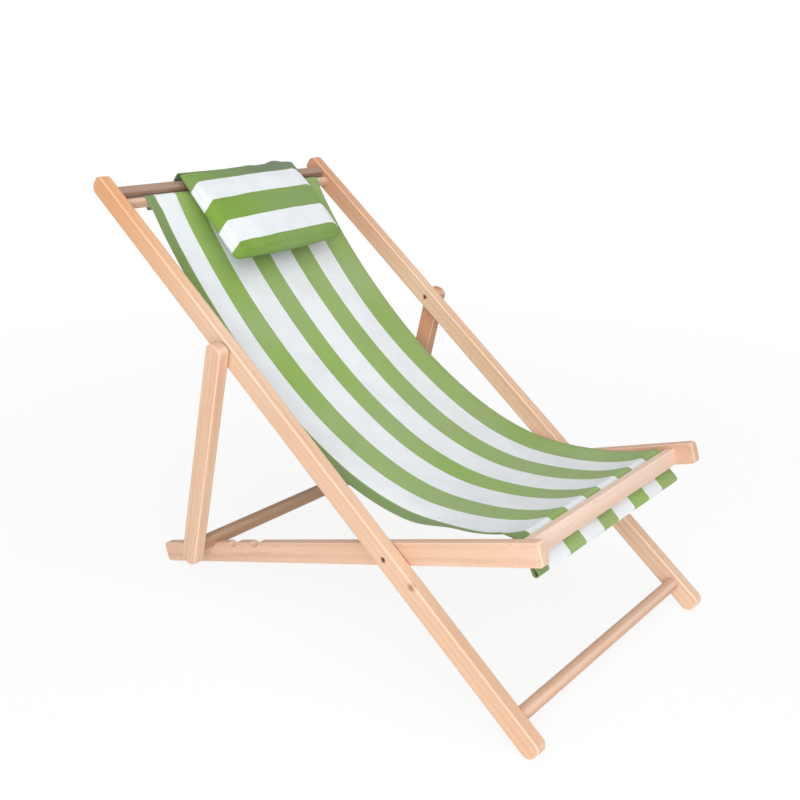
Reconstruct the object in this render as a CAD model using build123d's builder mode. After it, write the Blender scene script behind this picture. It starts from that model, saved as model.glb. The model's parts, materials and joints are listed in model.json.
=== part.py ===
from build123d import *
from math import asin, atan2, cos, degrees, hypot, radians, sin
import os

# Folding lounge chair: a cloth sling hung between two crossing wooden frames, which a
# third frame, the prop, holds apart by resting in notches of the seat rails.
# The origin is on the floor under the middle of the chair. +X is the way the sitter
# faces, +Y is to the sitter's left and +Z is up. Lengths are millimetres, angles degrees.

os.makedirs("parts", exist_ok=True)
sides = {"right": -1, "left": 1}

# Widths from the outside in: prop legs, back rails, seat rails
overall_width = 580
prop_leg_thickness = 21.5
prop_washer_thickness = 2.0
back_rail_thickness = 21.5
seat_washer_thickness = 1.5
seat_rail_thickness = 18

# Back frame: two long rails from the front feet to the head
back_angle = 36.2
back_above_pivot = 814
back_below_pivot = 342
back_rail_depth = 34
back_end_radius = 13
foot_rung_diameter = 22
foot_rung_from_end = 54
head_dowel_diameter = 18
head_dowel_from_end = 60.2
head_slot = 3.6
head_rail_thickness = 18
head_rail_depth = 26

# Seat frame: two rails from the front edge of the seat to the rear feet
seat_front_length = 263.5
seat_rear_length = 585.5
seat_rail_depth = 36
seat_end_radius = 7
front_dowel_diameter = 18
front_dowel_from_end = 64
front_dowel_rise = 3
front_slot = 3.5
front_rail_thickness = 18
front_rail_height = 27
front_rail_drop = 3

# Prop frame: two legs that hang from the back rails and a dowel that drops into a notch
prop_pivot_up = 418.5
prop_leg_depth = 34
prop_end_radius = 13
prop_top_length = 14
prop_tail_length = 30
prop_dowel_diameter = 26
notch_count = 3
notch_pitch = 60
notch_back = 440
notch_depth = 8
notch_clearance = 0.3
notch_runout_angle = 4.5

# Woodwork
rail_edge_radius = 3
floor_flat_depth = 1.0
dowel_seat = 12
tenon_length = 10
tenon_shoulder = 4
wood_fit = 0.05

# Pivot hardware
bolt_diameter = 5
bolt_fit = 0.05
bolt_head_diameter = 8.5
bolt_head_height = 5
bolt_head_sink = 1.0
hardware_room = 0.5
socket_width = 4
socket_depth = 2.5
nut_width = 8
nut_thickness = 4
nut_sink = 1.0
washer_diameter = 16
insert_diameter = 9
insert_length = 13

# Sling: one cloth, parted at its lowest point, which lies just ahead of the main pivot
sling_width = 428
cloth_thickness = 1.2
cloth_clearance = 0.3
sling_low_above_pivot = 42
sling_low_ahead = 3
sling_parting = 2
sling_head_angle = 30
sling_head_pull = 73.5
sling_back_pull = 290
sling_seat_pull = 25
sling_front_pull = 90
hem_stick_diameter = 8
hem_stick_inset = 36
head_hem_drop = 3
head_hem_lean = 45
head_pocket_length = 20
front_hem_drop = 21.5
front_hem_tilt = 32
front_pocket_length = 30

# Head pillow and the strap that carries it over the head rail
pillow_width = 284
pillow_shift = 19
pillow_length = 182
pillow_top_below_rail = 3
pillow_top_thickness = 17
pillow_top_rise = 6
pillow_top_forward = 5
pillow_lean = 15.5
pillow_bottom_recede = 15
pillow_bottom_thickness = 23
pillow_bottom_droop = 9
pillow_front_swell = 8
pillow_seam_share = 0.78
pillow_end_share = 0.25
pillow_end_fullness = 0.5
pillow_side_steps = 4
strap_thickness = 1.6
strap_arch = 11
strap_rear_room = 4
strap_drop = 42

def low_side(sign, inner, outer):
    # The lower Y of a piece that lies between two distances from the middle plane
    return inner if sign > 0 else -outer


def spot(plane, along, across, y, outward):
    # A plane on a face across the chair, its normal pointing to the left or to the right
    return Plane(origin=plane.from_local_coords((along, across, y)), z_dir=(0, outward, 0))


def section_point(plane, along, across):
    # A place on a frame plane, as X and Z
    place = plane.from_local_coords((along, across, 0))
    return (place.X, place.Z)


def toward(point, angle, distance):
    # The point that lies at a distance from another, in a plane
    return (point[0] + distance * cos(radians(angle)), point[1] + distance * sin(radians(angle)))


# Places across the chair, as distances from the middle plane
leg_outer = overall_width / 2
leg_inner = leg_outer - prop_leg_thickness
back_outer = leg_inner - prop_washer_thickness
back_inner = back_outer - back_rail_thickness
seat_outer = back_inner - seat_washer_thickness
seat_inner = seat_outer - seat_rail_thickness

# Main pivot height, from the rounded foot of the back rail standing on the floor
tilt = radians(back_angle)
foot_core_along = back_below_pivot - back_end_radius
head_core_along = back_above_pivot - back_end_radius
rail_core_across = back_rail_depth / 2 - back_end_radius
foot_reach = foot_core_along * sin(tilt) + rail_core_across * cos(tilt) + back_end_radius
pivot_z = foot_reach - floor_flat_depth

# Seat slope, from the rounded rear foot of the seat rail standing on the same floor
rear_core_along = seat_rear_length - seat_end_radius
rear_core_across = seat_rail_depth / 2 - seat_end_radius
rear_core_drop = pivot_z - seat_end_radius + floor_flat_depth
rear_core_angle = asin(rear_core_drop / hypot(rear_core_along, rear_core_across))
seat_tilt = rear_core_angle - atan2(rear_core_across, rear_core_along)
seat_angle = degrees(seat_tilt)

# The back rails reach furthest to the front and to the rear, and the origin is midway
pivot_x = (head_core_along - foot_core_along) * cos(tilt) / 2

# Frame planes in the middle of the chair: x runs up the back rail and rearward along the
# seat rail, y to the front of the back rail and to the top of the seat rail, z to the left
pivot = Vector(pivot_x, 0, pivot_z)
back_plane = Plane(origin=pivot, x_dir=(-cos(tilt), 0, sin(tilt)), z_dir=(0, 1, 0))
seat_plane = Plane(origin=pivot, x_dir=(-cos(seat_tilt), 0, -sin(seat_tilt)), z_dir=(0, 1, 0))

# Prop plane: x runs down the leg to its dowel, which lies in the rearmost notch
notch_radius = prop_dowel_diameter / 2 + notch_clearance
notch_height = seat_rail_depth / 2 - notch_depth + notch_radius
prop_pivot = back_plane.from_local_coords((prop_pivot_up, 0, 0))
prop_dowel_place = seat_plane.from_local_coords((notch_back, notch_height, 0))
prop_line = prop_dowel_place - prop_pivot
prop_plane = Plane(origin=prop_pivot, x_dir=prop_line, z_dir=(0, 1, 0))

# Run-out of the rearmost notch, a ramp that starts at the bottom of the notch
notch_centre = (notch_back, notch_height)
ramp_length = notch_depth / sin(radians(notch_runout_angle))
ramp_start = toward(notch_centre, notch_runout_angle - 90, notch_radius)
ramp_end = toward(ramp_start, notch_runout_angle, ramp_length)

# Cross pieces, along and across their rails
foot_rung_along = foot_rung_from_end - back_below_pivot
head_dowel_along = back_above_pivot - head_dowel_from_end
head_rail_low = head_dowel_along + head_dowel_diameter / 2 + head_slot
head_rail_along = head_rail_low + head_rail_thickness / 2
head_rail_top = head_rail_low + head_rail_thickness
front_dowel_along = front_dowel_from_end - seat_front_length
front_rail_along = front_dowel_along - front_dowel_diameter / 2 - front_slot - front_rail_thickness / 2

# Bolt lengths under the head
main_bolt_length = (back_outer - seat_inner) - 2 * bolt_head_sink - bolt_head_height
prop_bolt_length = (leg_inner + insert_length - back_inner) - bolt_head_sink - bolt_head_height

to_top = (Align.CENTER, Align.CENTER, Align.MAX)


# Back rails
for side, sign in sides.items():
    with BuildPart() as back_rail:
        with BuildSketch(back_plane.offset(low_side(sign, back_inner, back_outer))):
            with Locations(((back_above_pivot - back_below_pivot) / 2, 0)):
                RectangleRounded(back_above_pivot + back_below_pivot, back_rail_depth, back_end_radius)
        extrude(amount=back_rail_thickness)
        fillet(back_rail.faces().filter_by(Axis.Y).edges(), rail_edge_radius)
        with Locations(spot(back_plane, foot_rung_along, 0, sign * back_inner, -sign)):
            Hole(foot_rung_diameter / 2 + wood_fit, depth=dowel_seat)
        with Locations(spot(back_plane, head_dowel_along, 0, sign * back_inner, -sign)):
            Hole(head_dowel_diameter / 2 + wood_fit, depth=dowel_seat)
        with BuildSketch(back_plane.offset(low_side(sign, back_inner, back_inner + tenon_length))):
            with Locations((head_rail_along, 0)):
                Rectangle(
                    head_rail_thickness - 2 * tenon_shoulder + 2 * wood_fit,
                    head_rail_depth - 2 * tenon_shoulder + 2 * wood_fit,
                )
        extrude(amount=tenon_length, mode=Mode.SUBTRACT)
        with Locations(spot(back_plane, 0, 0, sign * back_outer, sign)):
            CounterBoreHole(
                bolt_diameter / 2 + bolt_fit,
                bolt_head_diameter / 2 + hardware_room,
                bolt_head_height + bolt_head_sink,
            )
        with Locations(spot(back_plane, prop_pivot_up, 0, sign * back_inner, -sign)):
            CounterBoreHole(
                bolt_diameter / 2 + bolt_fit,
                bolt_head_diameter / 2 + hardware_room,
                bolt_head_height + bolt_head_sink,
            )
        split(bisect_by=Plane.XY, keep=Keep.TOP)
    back_rail.part.label = f"back_rail_{side}"
    export_step(back_rail.part, f"parts/back_rail_{side}.step")

# Foot rung, near the front feet
with BuildPart() as foot_rung:
    with BuildSketch(back_plane.offset(-back_inner - dowel_seat)):
        with Locations((foot_rung_along, 0)):
            Circle(foot_rung_diameter / 2)
    extrude(amount=2 * (back_inner + dowel_seat))
foot_rung.part.label = "foot_rung"
export_step(foot_rung.part, "parts/foot_rung.step")

# Head dowel, which the sling is drawn over
with BuildPart() as head_dowel:
    with BuildSketch(back_plane.offset(-back_inner - dowel_seat)):
        with Locations((head_dowel_along, 0)):
            Circle(head_dowel_diameter / 2)
    extrude(amount=2 * (back_inner + dowel_seat))
head_dowel.part.label = "head_dowel"
export_step(head_dowel.part, "parts/head_dowel.step")

# Head rail, tenoned into the back rails just above the head dowel
with BuildPart() as head_rail:
    with BuildSketch(back_plane.offset(-back_inner)):
        with Locations((head_rail_along, 0)):
            RectangleRounded(head_rail_thickness, head_rail_depth, rail_edge_radius)
    extrude(amount=2 * back_inner)
    with BuildSketch(back_plane.offset(-back_inner - tenon_length)):
        with Locations((head_rail_along, 0)):
            Rectangle(head_rail_thickness - 2 * tenon_shoulder, head_rail_depth - 2 * tenon_shoulder)
    extrude(amount=2 * (back_inner + tenon_length))
head_rail.part.label = "head_rail"
export_step(head_rail.part, "parts/head_rail.step")

# Seat rails, notched along the top for the prop dowel
for side, sign in sides.items():
    with BuildPart() as seat_rail:
        with BuildSketch(seat_plane.offset(low_side(sign, seat_inner, seat_outer))):
            with Locations(((seat_rear_length - seat_front_length) / 2, 0)):
                RectangleRounded(seat_rear_length + seat_front_length, seat_rail_depth, seat_end_radius)
        extrude(amount=seat_rail_thickness)
        fillet(seat_rail.faces().filter_by(Axis.Y).edges(), rail_edge_radius)
        with BuildSketch(seat_plane.offset(low_side(sign, seat_inner, seat_outer))):
            for notch in range(notch_count):
                with Locations((notch_back - notch * notch_pitch, notch_height)):
                    Circle(notch_radius)
            # The rearmost notch runs out rearward, so that the dowel slides out of it
            with BuildLine():
                Polyline(notch_centre, ramp_start, ramp_end, (ramp_end[0], notch_height), close=True)
            make_face()
        extrude(amount=seat_rail_thickness, mode=Mode.SUBTRACT)
        with Locations(spot(seat_plane, front_dowel_along, front_dowel_rise, sign * seat_inner, -sign)):
            Hole(front_dowel_diameter / 2 + wood_fit, depth=dowel_seat)
        with BuildSketch(seat_plane.offset(low_side(sign, seat_inner, seat_inner + tenon_length))):
            with Locations((front_rail_along, -front_rail_drop)):
                Rectangle(
                    front_rail_thickness - 2 * tenon_shoulder + 2 * wood_fit,
                    front_rail_height - 2 * tenon_shoulder + 2 * wood_fit,
                )
        extrude(amount=tenon_length, mode=Mode.SUBTRACT)
        with Locations(spot(seat_plane, 0, 0, sign * seat_inner, -sign)):
            CounterBoreHole(
                bolt_diameter / 2 + bolt_fit,
                nut_width / 2 / cos(radians(30)) + hardware_room,
                nut_thickness + nut_sink,
            )
        split(bisect_by=Plane.XY, keep=Keep.TOP)
    seat_rail.part.label = f"seat_rail_{side}"
    export_step(seat_rail.part, f"parts/seat_rail_{side}.step")

# Front dowel, which the front edge of the sling is drawn over
with BuildPart() as front_dowel:
    with BuildSketch(seat_plane.offset(-seat_inner - dowel_seat)):
        with Locations((front_dowel_along, front_dowel_rise)):
            Circle(front_dowel_diameter / 2)
    extrude(amount=2 * (seat_inner + dowel_seat))
front_dowel.part.label = "front_dowel"
export_step(front_dowel.part, "parts/front_dowel.step")

# Front rail, tenoned into the seat rails
with BuildPart() as front_rail:
    with BuildSketch(seat_plane.offset(-seat_inner)):
        with Locations((front_rail_along, -front_rail_drop)):
            RectangleRounded(front_rail_thickness, front_rail_height, rail_edge_radius)
    extrude(amount=2 * seat_inner)
    with BuildSketch(seat_plane.offset(-seat_inner - tenon_length)):
        with Locations((front_rail_along, -front_rail_drop)):
            Rectangle(front_rail_thickness - 2 * tenon_shoulder, front_rail_height - 2 * tenon_shoulder)
    extrude(amount=2 * (seat_inner + tenon_length))
front_rail.part.label = "front_rail"
export_step(front_rail.part, "parts/front_rail.step")

# Prop legs
for side, sign in sides.items():
    with BuildPart() as prop_leg:
        with BuildSketch(prop_plane.offset(low_side(sign, leg_inner, leg_outer))):
            with Locations(((prop_line.length + prop_tail_length - prop_top_length) / 2, 0)):
                RectangleRounded(
                    prop_line.length + prop_tail_length + prop_top_length, prop_leg_depth, prop_end_radius
                )
        extrude(amount=prop_leg_thickness)
        fillet(prop_leg.faces().filter_by(Axis.Y).edges(), rail_edge_radius)
        with Locations(spot(prop_plane, 0, 0, sign * leg_inner, -sign)):
            Hole(insert_diameter / 2 + wood_fit, depth=insert_length)
        with Locations(spot(prop_plane, prop_line.length, 0, sign * leg_inner, -sign)):
            Hole(prop_dowel_diameter / 2 + wood_fit, depth=dowel_seat)
    prop_leg.part.label = f"prop_leg_{side}"
    export_step(prop_leg.part, f"parts/prop_leg_{side}.step")

# Prop dowel, across both seat rails
with BuildPart() as prop_dowel:
    with BuildSketch(prop_plane.offset(-leg_inner - dowel_seat)):
        with Locations((prop_line.length, 0)):
            Circle(prop_dowel_diameter / 2)
    extrude(amount=2 * (leg_inner + dowel_seat))
prop_dowel.part.label = "prop_dowel"
export_step(prop_dowel.part, "parts/prop_dowel.step")


def socket_bolt(head_top, length):
    # A sunk bolt that hangs below the top of its head, with a six-sided socket in it
    with Locations(head_top):
        Cylinder(bolt_head_diameter / 2, bolt_head_height, align=to_top)
        Cylinder(bolt_diameter / 2, bolt_head_height + length, align=to_top)
    with BuildSketch(head_top) as socket:
        RegularPolygon(socket_width / 2, 6, major_radius=False)
    extrude(socket.sketch, amount=-socket_depth, mode=Mode.SUBTRACT)


def ring(face, outer_radius, thickness):
    # A washer or an insert on a bolt, below the given face
    with BuildSketch(face) as outline:
        Circle(outer_radius)
        Circle(bolt_diameter / 2 + bolt_fit, mode=Mode.SUBTRACT)
    extrude(outline.sketch, amount=-thickness)


# Main pivot bolts, from the outer faces of the back rails into the seat rails
with BuildPart() as main_pivot_bolts:
    for sign in sides.values():
        socket_bolt(spot(back_plane, 0, 0, sign * (back_outer - bolt_head_sink), sign), main_bolt_length)
main_pivot_bolts.part.label = "main_pivot_bolts"
export_step(main_pivot_bolts.part, "parts/main_pivot_bolts.step")

# Main pivot nuts, sunk into the inner faces of the seat rails
with BuildPart() as main_pivot_nuts:
    for sign in sides.values():
        with BuildSketch(spot(back_plane, 0, 0, sign * (seat_inner + nut_sink), -sign)):
            RegularPolygon(nut_width / 2, 6, major_radius=False)
            Circle(bolt_diameter / 2 + bolt_fit, mode=Mode.SUBTRACT)
        extrude(amount=-nut_thickness)
main_pivot_nuts.part.label = "main_pivot_nuts"
export_step(main_pivot_nuts.part, "parts/main_pivot_nuts.step")

# Main pivot washers, between back rails and seat rails
with BuildPart() as main_pivot_washers:
    for sign in sides.values():
        ring(spot(back_plane, 0, 0, sign * back_inner, sign), washer_diameter / 2, seat_washer_thickness)
main_pivot_washers.part.label = "main_pivot_washers"
export_step(main_pivot_washers.part, "parts/main_pivot_washers.step")

# Prop pivot bolts, from the inner faces of the back rails into the prop legs
with BuildPart() as prop_pivot_bolts:
    for sign in sides.values():
        socket_bolt(spot(prop_plane, 0, 0, sign * (back_inner + bolt_head_sink), -sign), prop_bolt_length)
prop_pivot_bolts.part.label = "prop_pivot_bolts"
export_step(prop_pivot_bolts.part, "parts/prop_pivot_bolts.step")

# Prop pivot inserts, the threaded sleeves in the prop legs
with BuildPart() as prop_pivot_inserts:
    for sign in sides.values():
        ring(spot(prop_plane, 0, 0, sign * leg_inner, -sign), insert_diameter / 2, insert_length)
prop_pivot_inserts.part.label = "prop_pivot_inserts"
export_step(prop_pivot_inserts.part, "parts/prop_pivot_inserts.step")

# Prop pivot washers, between prop legs and back rails
with BuildPart() as prop_pivot_washers:
    for sign in sides.values():
        ring(spot(prop_plane, 0, 0, sign * leg_inner, sign), washer_diameter / 2, prop_washer_thickness)
prop_pivot_washers.part.label = "prop_pivot_washers"
export_step(prop_pivot_washers.part, "parts/prop_pivot_washers.step")

# Cloth over the dowels, and its hem pockets
cloth_rise = cloth_clearance + cloth_thickness / 2
head_wrap_radius = head_dowel_diameter / 2 + cloth_rise
front_wrap_radius = front_dowel_diameter / 2 + cloth_rise
pocket_wall = cloth_thickness + cloth_clearance
pocket_thickness = hem_stick_diameter + 2 * pocket_wall
stick_from_pocket_end = pocket_wall + hem_stick_diameter / 2
sling_plane = Plane.XZ.offset(sling_width / 2)


def hem_pocket(top, angle, length):
    # A flat sleeve of cloth that reaches from its top in the given direction
    with Locations(toward(top, angle, length / 2)):
        SlotOverall(length, pocket_thickness, rotation=angle)
        SlotOverall(
            length - 2 * cloth_thickness,
            pocket_thickness - 2 * cloth_thickness,
            rotation=angle,
            mode=Mode.SUBTRACT,
        )


# The sling's course, as X and Z points: over the head dowel, down to its lowest point
# and up to the front dowel
head_centre = section_point(back_plane, head_dowel_along, 0)
head_leave = 90 - back_angle - sling_head_angle
head_start = toward(head_centre, head_leave, head_wrap_radius)
head_control = toward(head_start, head_leave - 90, sling_head_pull)
head_end = toward(head_centre, 180, head_wrap_radius)
head_pocket_top = toward(head_end, -90, head_hem_drop)
head_hem_angle = -90 - head_hem_lean
sling_low = (pivot_x + sling_low_ahead, pivot_z + sling_low_above_pivot)
low_rear = toward(sling_low, 180, sling_parting / 2)
low_front = toward(sling_low, 0, sling_parting / 2)
front_centre = section_point(seat_plane, front_dowel_along, front_dowel_rise)
front_start = toward(front_centre, seat_angle + 90, front_wrap_radius)
front_control = toward(front_start, seat_angle + 180, sling_front_pull)
front_end = toward(front_centre, seat_angle, front_wrap_radius)
front_pocket_top = toward(front_end, seat_angle - 90, front_hem_drop)
front_hem_angle = seat_angle - 90 + front_hem_tilt

# Back of the sling
with BuildPart() as sling_back:
    with BuildSketch(sling_plane):
        with BuildLine():
            Line(toward(head_pocket_top, head_hem_angle, cloth_thickness / 2), head_end)
            CenterArc(head_centre, head_wrap_radius, head_leave, 180 - head_leave)
            Bezier(head_start, head_control, toward(low_rear, 180, sling_back_pull), low_rear)
        trace(line_width=cloth_thickness)
        hem_pocket(head_pocket_top, head_hem_angle, head_pocket_length)
    extrude(amount=-sling_width)
sling_back.part.label = "sling_back"
export_step(sling_back.part, "parts/sling_back.step")

# Seat of the sling, with the hem that hangs below the front rail
with BuildPart() as sling_seat:
    with BuildSketch(sling_plane):
        with BuildLine():
            Bezier(low_front, toward(low_front, 0, sling_seat_pull), front_control, front_start)
            CenterArc(front_centre, front_wrap_radius, seat_angle, 90)
            Line(front_end, toward(front_pocket_top, front_hem_angle, cloth_thickness / 2))
        trace(line_width=cloth_thickness)
        hem_pocket(front_pocket_top, front_hem_angle, front_pocket_length)
    extrude(amount=-sling_width)
sling_seat.part.label = "sling_seat"
export_step(sling_seat.part, "parts/sling_seat.step")

# Sticks that keep the hems from slipping back through the slots
head_stick_centre = toward(head_pocket_top, head_hem_angle, head_pocket_length - stick_from_pocket_end)
front_stick_centre = toward(front_pocket_top, front_hem_angle, front_pocket_length - stick_from_pocket_end)
hem_stick_length = sling_width - 2 * hem_stick_inset


def hem_stick(centre):
    # A round stick across the chair, a little shorter than the cloth is wide
    with BuildSketch(Plane.XZ.offset(hem_stick_length / 2)) as section:
        with Locations(centre):
            Circle(hem_stick_diameter / 2)
    extrude(section.sketch, amount=-hem_stick_length)


with BuildPart() as head_hem_stick:
    hem_stick(head_stick_centre)
head_hem_stick.part.label = "head_hem_stick"
export_step(head_hem_stick.part, "parts/head_hem_stick.step")

with BuildPart() as front_hem_stick:
    hem_stick(front_stick_centre)
front_hem_stick.part.label = "front_hem_stick"
export_step(front_hem_stick.part, "parts/front_hem_stick.step")

# Pillow section on the back plane, along and across the back rails. Its back leans on the
# cloth over the head dowel.
pillow_top = head_rail_top - pillow_top_below_rail
pillow_bottom = pillow_top - pillow_length
rest_radius = head_dowel_diameter / 2 + 2 * cloth_clearance + cloth_thickness
rest_lean = radians(pillow_lean)
rest_point = (head_dowel_along - rest_radius * sin(rest_lean), rest_radius * cos(rest_lean))
top_back = (pillow_top, head_rail_depth / 2 + pillow_top_forward)
top_front = (pillow_top, top_back[1] + pillow_top_thickness)
bottom_back = (pillow_bottom, rest_point[1] - pillow_bottom_recede)
bottom_front = (pillow_bottom, bottom_back[1] + pillow_bottom_thickness)
pillow_corners = [top_back, top_front, bottom_front, bottom_back]
top_middle = (top_back[1] + top_front[1]) / 2
top_seam = top_back[1] + pillow_seam_share * pillow_top_thickness
bottom_seam = bottom_back[1] + pillow_seam_share * pillow_bottom_thickness
front_chord = (top_front[1] + bottom_front[1]) / 2
front_middle = ((pillow_top + pillow_bottom) / 2, front_chord + pillow_front_swell)


def thinned(point, share):
    # A section point drawn in toward the surface of the side seams
    down = (pillow_top - point[0]) / pillow_length
    seam = top_seam + (bottom_seam - top_seam) * down
    return (point[0], seam + (point[1] - seam) * share)


def crest(first, second, rise):
    # The highest point of a rounded end between two corners
    return (first[0] + rise, (first[1] + second[1]) / 2)


# Pillow, fullest in the middle and drawn in round both sides
with BuildPart() as pillow:
    for step in range(-pillow_side_steps, pillow_side_steps + 1):
        turn = radians(90 * step / pillow_side_steps)
        y = pillow_shift + pillow_width / 2 * sin(turn)
        share = pillow_end_share + (1 - pillow_end_share) * abs(cos(turn)) ** pillow_end_fullness
        with BuildSketch(back_plane.offset(y)):
            with BuildLine():
                corners = [thinned(corner, share) for corner in pillow_corners]
                ThreePointArc(corners[0], crest(*corners[:2], pillow_top_rise * share), corners[1])
                ThreePointArc(corners[1], thinned(front_middle, share), corners[2])
                ThreePointArc(corners[2], crest(*corners[2:], -pillow_bottom_droop * share), corners[3])
                Polyline(corners[3], thinned(rest_point, share), corners[0])
            make_face()
    loft()
pillow.part.label = "pillow"
export_step(pillow.part, "parts/pillow.step")

# Strap from the top of the pillow over the head rail, hanging free behind it
strap_start = (pillow_top + pillow_top_rise + 2 * cloth_clearance, top_middle)
strap_crown = (head_rail_top + strap_arch, (top_middle - head_rail_depth / 2 - strap_rear_room) / 2)
strap_rear = (head_rail_top, -head_rail_depth / 2 - strap_rear_room)
strap_end = (strap_rear[0] - strap_drop * sin(tilt), strap_rear[1] - strap_drop * cos(tilt))
with BuildPart() as pillow_strap:
    with BuildSketch(back_plane.offset(pillow_shift - pillow_width / 2)):
        with BuildLine():
            ThreePointArc(strap_start, strap_crown, strap_rear)
            Line(strap_rear, strap_end)
        trace(line_width=strap_thickness)
    extrude(amount=pillow_width)
pillow_strap.part.label = "pillow_strap"
export_step(pillow_strap.part, "parts/pillow_strap.step")

# Places of the hinges. The pillow's is the centre of its rounded top.
top_radius = pillow_top_rise / 2 + pillow_top_thickness**2 / (8 * pillow_top_rise)
pillow_hinge_along = pillow_top + pillow_top_rise - top_radius
pillow_hinge = back_plane.from_local_coords((pillow_hinge_along, top_middle, 0))
for name, place in {"main": pivot, "prop": prop_pivot, "pillow": pillow_hinge}.items():
    print(f"{name} hinge: x {place.X:.3f}, z {place.Z:.3f}")
print(f"seat angle {seat_angle:.3f}, prop leg {prop_line.length:.2f} between its centres")
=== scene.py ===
import json
import math

import bpy
from mathutils import Euler, Matrix, Vector, noise
from mathutils.geometry import interpolate_bezier


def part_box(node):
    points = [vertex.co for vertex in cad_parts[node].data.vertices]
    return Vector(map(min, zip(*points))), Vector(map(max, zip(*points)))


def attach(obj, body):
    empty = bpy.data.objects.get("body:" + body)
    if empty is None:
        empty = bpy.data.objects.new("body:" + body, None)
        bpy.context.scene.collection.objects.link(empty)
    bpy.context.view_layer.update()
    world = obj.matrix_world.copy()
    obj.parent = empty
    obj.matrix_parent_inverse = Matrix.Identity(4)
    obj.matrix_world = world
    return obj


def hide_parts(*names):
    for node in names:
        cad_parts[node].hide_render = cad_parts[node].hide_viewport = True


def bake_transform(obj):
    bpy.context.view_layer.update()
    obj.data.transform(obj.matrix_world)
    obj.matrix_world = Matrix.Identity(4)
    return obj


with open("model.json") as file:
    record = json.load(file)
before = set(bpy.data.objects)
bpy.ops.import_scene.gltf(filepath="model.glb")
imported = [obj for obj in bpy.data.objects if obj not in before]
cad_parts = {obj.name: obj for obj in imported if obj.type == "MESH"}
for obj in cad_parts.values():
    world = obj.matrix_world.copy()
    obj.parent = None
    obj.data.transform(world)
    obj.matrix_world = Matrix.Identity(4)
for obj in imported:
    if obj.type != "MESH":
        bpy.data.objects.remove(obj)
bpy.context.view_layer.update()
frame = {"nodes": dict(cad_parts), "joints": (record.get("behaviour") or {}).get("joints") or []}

nodes = frame["nodes"]
hinges = {joint["name"]: Vector(joint["pos_m"]) for joint in frame["joints"]}

# the chair's three leaning directions, seen from the side
lean = {
    "back": math.radians(36.2),     # back rails, rising to the rear
    "seat": math.radians(19.506),   # seat rails, rising to the front
    "prop": math.radians(-102.8),   # prop legs, going down
}
backUp = Vector((-math.cos(lean["back"]), 0, math.sin(lean["back"])))
backOut = Vector((math.sin(lean["back"]), 0, math.cos(lean["back"])))
seatAhead = Vector((math.cos(lean["seat"]), 0, math.sin(lean["seat"])))
seatUp = Vector((-math.sin(lean["seat"]), 0, math.cos(lean["seat"])))


def onBack(along, out, across=0.0):
    return hinges["fold"] + backUp * along + backOut * out + Vector((0, across, 0))


def upTheBack(spot):
    return (spot - hinges["fold"]).dot(backUp)


def middleOf(name):
    low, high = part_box(name)
    return (Vector(low) + Vector(high)) / 2


def rodRadius(name):
    low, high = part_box(name)
    return (high[2] - low[2]) / 2


def dropSelection():
    if bpy.context.object and bpy.context.object.mode != "OBJECT":
        bpy.ops.object.mode_set(mode="OBJECT")
    bpy.ops.object.select_all(action="DESELECT")


def pickOnly(piece):
    dropSelection()
    piece.select_set(True)
    bpy.context.view_layer.objects.active = piece


def applyAll(piece):
    pickOnly(piece)
    for modifier in list(piece.modifiers):
        bpy.ops.object.modifier_apply(modifier=modifier.name)


def smoothStep(low, high, value):
    share = min(max((value - low) / (high - low), 0.0), 1.0)
    return share * share * (3 - 2 * share)


def plateau(span, value):
    # rises over the first part of the span and falls again over the last
    start, full, waning, end = span
    return smoothStep(start, full, value) * smoothStep(end, waning, value)


print("frame loaded:", len(nodes), "nodes")


# material helpers

def tint(red, green, blue):
    # a colour as a paint chart gives it, 0 to 255
    def linear(value):
        value /= 255
        return value / 12.92 if value <= 0.04045 else ((value + 0.055) / 1.055) ** 2.4
    return (linear(red), linear(green), linear(blue), 1.0)


def startMaterial(name):
    material = bpy.data.materials.new(name)
    material.use_nodes = True
    return material, material.node_tree, material.node_tree.nodes["Principled BSDF"]


def feed(tree, socket, value):
    if isinstance(value, bpy.types.NodeSocket):
        tree.links.new(value, socket)
    else:
        socket.default_value = value


def objectSpot(tree):
    return tree.nodes.new("ShaderNodeTexCoord").outputs["Object"]


def mapped(tree, vector, place=(0, 0, 0), turn=(0, 0, 0), stretch=(1, 1, 1)):
    made = tree.nodes.new("ShaderNodeMapping")
    feed(tree, made.inputs["Vector"], vector)
    made.inputs["Location"].default_value = place
    made.inputs["Rotation"].default_value = turn
    made.inputs["Scale"].default_value = stretch
    return made.outputs["Vector"]


def speckle(tree, vector, scale, detail=2.0, rough=0.5):
    made = tree.nodes.new("ShaderNodeTexNoise")
    feed(tree, made.inputs["Vector"], vector)
    made.inputs["Scale"].default_value = scale
    made.inputs["Detail"].default_value = detail
    made.inputs["Roughness"].default_value = rough
    return made.outputs["Fac"]


def calc(tree, kind, first, second=0.0):
    made = tree.nodes.new("ShaderNodeMath")
    made.operation = kind
    feed(tree, made.inputs[0], first)
    feed(tree, made.inputs[1], second)
    return made.outputs[0]


def spread(tree, value, lowIn, highIn, lowOut=0.0, highOut=1.0):
    made = tree.nodes.new("ShaderNodeMapRange")
    feed(tree, made.inputs["Value"], value)
    made.inputs["From Min"].default_value = lowIn
    made.inputs["From Max"].default_value = highIn
    made.inputs["To Min"].default_value = lowOut
    made.inputs["To Max"].default_value = highOut
    return made.outputs["Result"]


def blendTint(tree, share, first, second, kind="MIX"):
    made = tree.nodes.new("ShaderNodeMix")
    made.data_type = "RGBA"
    made.blend_type = kind
    feed(tree, made.inputs["Factor"], share)
    firstIn, secondIn = [socket for socket in made.inputs if socket.type == "RGBA"]
    feed(tree, firstIn, first)
    feed(tree, secondIn, second)
    return next(socket for socket in made.outputs if socket.type == "RGBA")


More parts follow.
